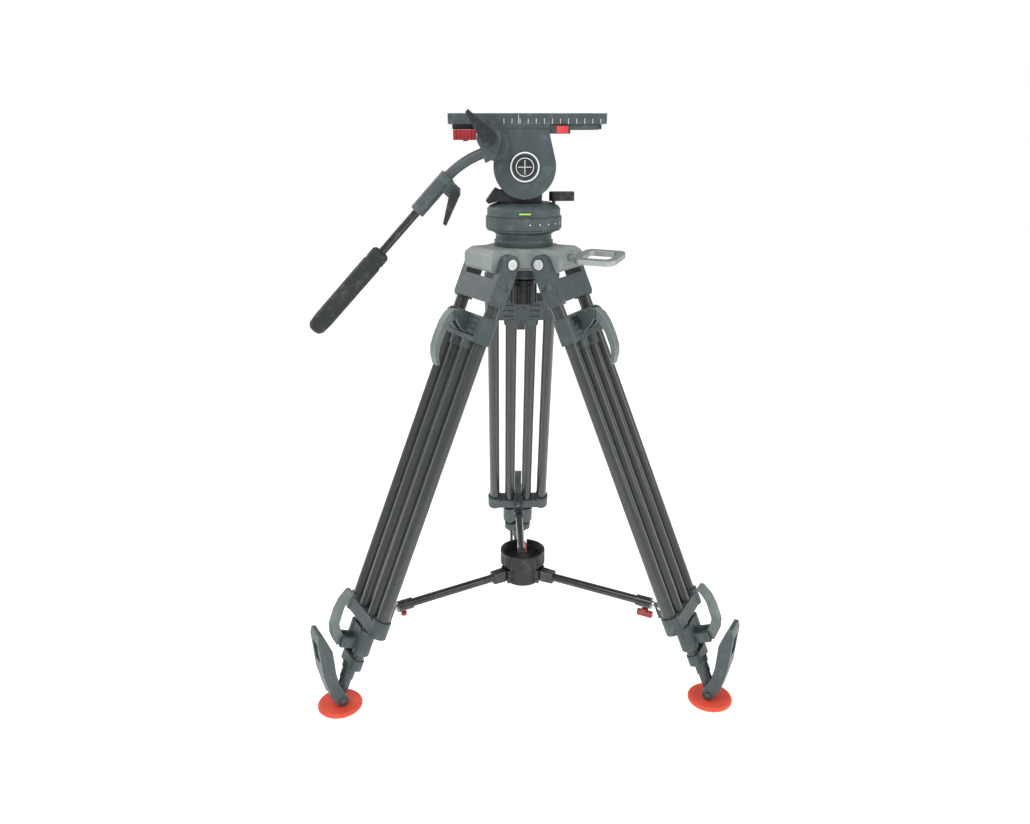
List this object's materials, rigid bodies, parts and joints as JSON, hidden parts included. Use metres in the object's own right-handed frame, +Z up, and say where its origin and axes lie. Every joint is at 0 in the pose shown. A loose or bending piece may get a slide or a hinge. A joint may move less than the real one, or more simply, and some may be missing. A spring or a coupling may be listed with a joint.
{
  "type": "camera tripod with fluid head",
  "caption": "Free-standing telescopic camera tripod with mid-level spreader, levelling half-ball bowl, fluid pan-and-tilt head, sliding camera plate and angled pan handle.",
  "frame": {"origin": "on the floor, at the middle of the bounding box; the tripod's vertical axis stands 94.4 mm towards -Y of it", "axes": "+Z up; +Y towards the rear leg; +X to the right, the camera's nose side, with the pan handle at -X"},
  "size_m": [0.7368, 0.6434, 0.99],
  "materials": {
    "castings": "satin crackle paint, dark blue-green grey",
    "webbing": "satin mid grey paint",
    "carbon": "wound carbon fibre under clear resin",
    "handle_black": "gloss black anodised",
    "grip_rubber": "matte moulded rubber",
    "red_rubber": "matte moulded rubber",
    "red_plastic": "moulded plastic",
    "bright_metal": "turned stainless steel",
    "cast_light": "cast aluminium, light grey-green"
  },
  "bodies": {
    "crown": {"crown_casting": "webbing", "hinge_bolts": "bright_metal"},
    "carry_loop": {"carry_loop": "cast_light"},
    "level": {"level_ball": "castings", "pan_base": "castings"},
    "bowl_knob": {"bowl_clamp_knob": "castings"},
    "drag_ring": {"pan_drag_ring": "castings"},
    "pan": {"pan_housing": "castings", "tilt_core": "castings"},
    "pan_brake": {"pan_brake_lever": "castings"},
    "tilt_brake": {"tilt_brake_lever": "castings"},
    "tilt": {"tilt_frame": "castings"},
    "plate": {"camera_plate": "castings", "camera_screws": "bright_metal"},
    "plate_knob": {"plate_clamp_knob": "red_plastic"},
    "button": {"release_button": "red_plastic"},
    "handle": {"handle_arm": "handle_black"},
    "handle_lever": {"handle_clamp_lever": "castings"},
    "rod": {"handle_rod": "handle_black", "handle_grip": "grip_rubber"},
    "rod_lever": {"rod_clamp_lever": "castings"},
    "hub": {"spreader_hub": "castings", "spreader_arms": "handle_black", "thumb_screws": "red_plastic"},
    "leg_left": {"leg_fork_left": "castings", "outer_tubes_left": "carbon", "leg_bracket_left": "castings"},
    "middle_left": {"upper_clamp_left": "castings", "inner_tubes_left": "carbon", "lower_clamp_left": "castings"},
    "upper_lever_left": {"upper_lever_left": "webbing"},
    "lower_lever_left": {"lower_lever_left": "webbing"},
    "lower_left": {"lower_stage_left": "carbon"},
    "boot_left": {"boot_lever_left": "castings"},
    "foot_left": {"rubber_foot_left": "red_rubber"},
    "rod_left": {"spreader_rod_left": "bright_metal"},
    "leg_right": {"leg_fork_right": "castings", "outer_tubes_right": "carbon", "leg_bracket_right": "castings"},
    "middle_right": {"upper_clamp_right": "castings", "inner_tubes_right": "carbon", "lower_clamp_right": "castings"},
    "upper_lever_right": {"upper_lever_right": "webbing"},
    "lower_lever_right": {"lower_lever_right": "webbing"},
    "lower_right": {"lower_stage_right": "carbon"},
    "boot_right": {"boot_lever_right": "castings"},
    "foot_right": {"rubber_foot_right": "red_rubber"},
    "rod_right": {"spreader_rod_right": "bright_metal"},
    "leg_rear": {"leg_fork_rear": "castings", "outer_tubes_rear": "carbon", "leg_bracket_rear": "castings"},
    "middle_rear": {"upper_clamp_rear": "castings", "inner_tubes_rear": "carbon", "lower_clamp_rear": "castings"},
    "upper_lever_rear": {"upper_lever_rear": "webbing"},
    "lower_lever_rear": {"lower_lever_rear": "webbing"},
    "lower_rear": {"lower_stage_rear": "carbon"},
    "boot_rear": {"boot_lever_rear": "castings"},
    "foot_rear": {"rubber_foot_rear": "red_rubber"},
    "rod_rear": {"spreader_rod_rear": "bright_metal"}
  },
  "joints": [
    {"name": "loop_swing", "type": "hinge", "parent": "crown", "child": "carry_loop", "pos_m": [0.08141, -0.14139, 0.764], "axis": [-0.4938, -0.8554, -0.1564], "range_deg": [-6, 30]},
    {"name": "head_level", "type": "hinge", "parent": "crown", "child": "level", "pos_m": [0, -0.09438, 0.786], "axis": [0, 1, 0], "range_deg": [-12, 12]},
    {"name": "bowl_clamp_turn", "type": "hinge", "parent": "level", "child": "bowl_knob", "pos_m": [0, -0.09438, 0.7], "axis": [0, 0, 1], "continuous": true},
    {"name": "drag_ring_turn", "type": "hinge", "parent": "level", "child": "drag_ring", "pos_m": [0, -0.09438, 0.815], "axis": [0, 0, 1], "range_deg": [-120, 120]},
    {"name": "pan", "type": "hinge", "parent": "level", "child": "pan", "pos_m": [0, -0.09438, 0.837], "axis": [0, 0, 1], "continuous": true},
    {"name": "pan_brake", "type": "hinge", "parent": "pan", "child": "pan_brake", "pos_m": [0.05, -0.09438, 0.856], "axis": [0, 0, 1], "range_deg": [-20, 20]},
    {"name": "tilt_brake", "type": "hinge", "parent": "pan", "child": "tilt_brake", "pos_m": [-0.039, -0.09438, 0.857], "axis": [0, 1, 0], "range_deg": [0, 20]},
    {"name": "tilt", "type": "hinge", "parent": "pan", "child": "tilt", "pos_m": [0, -0.09438, 0.904], "axis": [0, 1, 0], "range_deg": [-12, 50]},
    {"name": "plate_slide", "type": "slide", "parent": "tilt", "child": "plate", "axis": [1, 0, 0], "range_m": [-0.04, 0.04]},
    {"name": "plate_clamp", "type": "hinge", "parent": "tilt", "child": "plate_knob", "pos_m": [-0.095, -0.09438, 0.949], "axis": [0, 0, 1], "range_deg": [-18, 18]},
    {"name": "release_press", "type": "slide", "parent": "tilt", "child": "button", "axis": [0, 1, 0], "range_m": [0, 0.003], "stiffness_N_per_m": 300},
    {"name": "handle_angle", "type": "hinge", "parent": "tilt", "child": "handle", "pos_m": [-0.0565, -0.17039, 0.9485], "axis": [0, 1, 0], "range_deg": [0, 60]},
    {"name": "handle_clamp", "type": "hinge", "parent": "handle", "child": "handle_lever", "pos_m": [-0.0565, -0.18638, 0.9485], "axis": [0, 1, 0], "range_deg": [-60, 60]},
    {"name": "rod_extend", "type": "slide", "parent": "handle", "child": "rod", "axis": [-0.6794, 0, -0.7337], "range_m": [0, 0.03]},
    {"name": "rod_clamp", "type": "hinge", "parent": "handle", "child": "rod_lever", "pos_m": [-0.11008, -0.17039, 0.86631], "axis": [0, -1, 0], "range_deg": [0, 60]},
    {"name": "spread_left", "type": "hinge", "parent": "crown", "child": "leg_left", "pos_m": [-0.05283, -0.12488, 0.755], "axis": [-0.5, 0.866, 0], "range_deg": [0, 9]},
    {"name": "middle_extend_left", "type": "slide", "parent": "leg_left", "child": "middle_left", "axis": [-0.3426, -0.1978, -0.9184], "range_m": [0, 0.4]},
    {"name": "upper_clamp_flip_left", "type": "hinge", "parent": "middle_left", "child": "upper_lever_left", "pos_m": [-0.11481, -0.16067, 0.67477], "axis": [-0.5, 0.866, 0], "range_deg": [0, 60]},
    {"name": "lower_clamp_flip_left", "type": "hinge", "parent": "middle_left", "child": "lower_lever_left", "pos_m": [-0.31726, -0.27755, 0.13196], "axis": [0.5, -0.866, 0], "range_deg": [0, 30]},
    {"name": "lower_extend_left", "type": "slide", "parent": "middle_left", "child": "lower_left", "axis": [-0.3426, -0.1978, -0.9184], "range_m": [0, 0.4]},
    {"name": "boot_release_left", "type": "hinge", "parent": "lower_left", "child": "boot_left", "pos_m": [-0.32696, -0.28316, 0.02], "axis": [0.5, -0.866, 0], "range_deg": [0, 25]},
    {"name": "foot_tilt_left", "type": "hinge", "parent": "lower_left", "child": "foot_left", "pos_m": [-0.32696, -0.28316, 0.02], "axis": [0.5, -0.866, 0], "range_deg": [-12, 12]},
    {"name": "spread_right", "type": "hinge", "parent": "crown", "child": "leg_right", "pos_m": [0.05283, -0.12488, 0.755], "axis": [-0.5, -0.866, 0], "range_deg": [0, 9]},
    {"name": "middle_extend_right", "type": "slide", "parent": "leg_right", "child": "middle_right", "axis": [0.3426, -0.1978, -0.9184], "range_m": [0, 0.4]},
    {"name": "upper_clamp_flip_right", "type": "hinge", "parent": "middle_right", "child": "upper_lever_right", "pos_m": [0.11481, -0.16067, 0.67477], "axis": [-0.5, -0.866, 0], "range_deg": [0, 60]},
    {"name": "lower_clamp_flip_right", "type": "hinge", "parent": "middle_right", "child": "lower_lever_right", "pos_m": [0.31726, -0.27755, 0.13196], "axis": [0.5, 0.866, 0], "range_deg": [0, 30]},
    {"name": "lower_extend_right", "type": "slide", "parent": "middle_right", "child": "lower_right", "axis": [0.3426, -0.1978, -0.9184], "range_m": [0, 0.4]},
    {"name": "boot_release_right", "type": "hinge", "parent": "lower_right", "child": "boot_right", "pos_m": [0.32696, -0.28316, 0.02], "axis": [0.5, 0.866, 0], "range_deg": [0, 25]},
    {"name": "foot_tilt_right", "type": "hinge", "parent": "lower_right", "child": "foot_right", "pos_m": [0.32696, -0.28316, 0.02], "axis": [0.5, 0.866, 0], "range_deg": [-12, 12]},
    {"name": "spread_rear", "type": "hinge", "parent": "crown", "child": "leg_rear", "pos_m": [0, -0.03338, 0.755], "axis": [1, 0, 0], "range_deg": [0, 9]},
    {"name": "middle_extend_rear", "type": "slide", "parent": "leg_rear", "child": "middle_rear", "axis": [0, 0.3955, -0.9184], "range_m": [0, 0.4]},
    {"name": "upper_clamp_flip_rear", "type": "hinge", "parent": "middle_rear", "child": "upper_lever_rear", "pos_m": [0, 0.03819, 0.67477], "axis": [1, 0, 0], "range_deg": [0, 60]},
    {"name": "lower_clamp_flip_rear", "type": "hinge", "parent": "middle_rear", "child": "lower_lever_rear", "pos_m": [0, 0.27196, 0.13196], "axis": [-1, 0, 0], "range_deg": [0, 30]},
    {"name": "lower_extend_rear", "type": "slide", "parent": "middle_rear", "child": "lower_rear", "axis": [0, 0.3955, -0.9184], "range_m": [0, 0.4]},
    {"name": "boot_release_rear", "type": "hinge", "parent": "lower_rear", "child": "boot_rear", "pos_m": [0, 0.28316, 0.02], "axis": [-1, 0, 0], "range_deg": [0, 25]},
    {"name": "foot_tilt_rear", "type": "hinge", "parent": "lower_rear", "child": "foot_rear", "pos_m": [0, 0.28316, 0.02], "axis": [-1, 0, 0], "range_deg": [-12, 12]},
    {"name": "hub_rise", "type": "slide", "parent": "crown", "child": "hub", "axis": [0, 0, 1], "range_m": [0, 0.041]},
    {"name": "rod_out_left", "type": "slide", "parent": "hub", "child": "rod_left", "axis": [-0.866, -0.5, 0], "range_m": [0, 0.091]},
    {"name": "rod_out_right", "type": "slide", "parent": "hub", "child": "rod_right", "axis": [0.866, -0.5, 0], "range_m": [0, 0.091]},
    {"name": "rod_out_rear", "type": "slide", "parent": "hub", "child": "rod_rear", "axis": [0, 1, 0], "range_m": [0, 0.091]}
  ],
  "couplings": [
    {"joint": "spread_right", "follows": "spread_left", "ratio": 1},
    {"joint": "spread_rear", "follows": "spread_left", "ratio": 1},
    {"joint": "hub_rise", "follows": "spread_left", "m_per_rad": 0.2572},
    {"joint": "rod_out_left", "follows": "spread_left", "m_per_rad": 0.5768},
    {"joint": "rod_out_right", "follows": "spread_left", "m_per_rad": 0.5768},
    {"joint": "rod_out_rear", "follows": "spread_left", "m_per_rad": 0.5768}
  ]
}
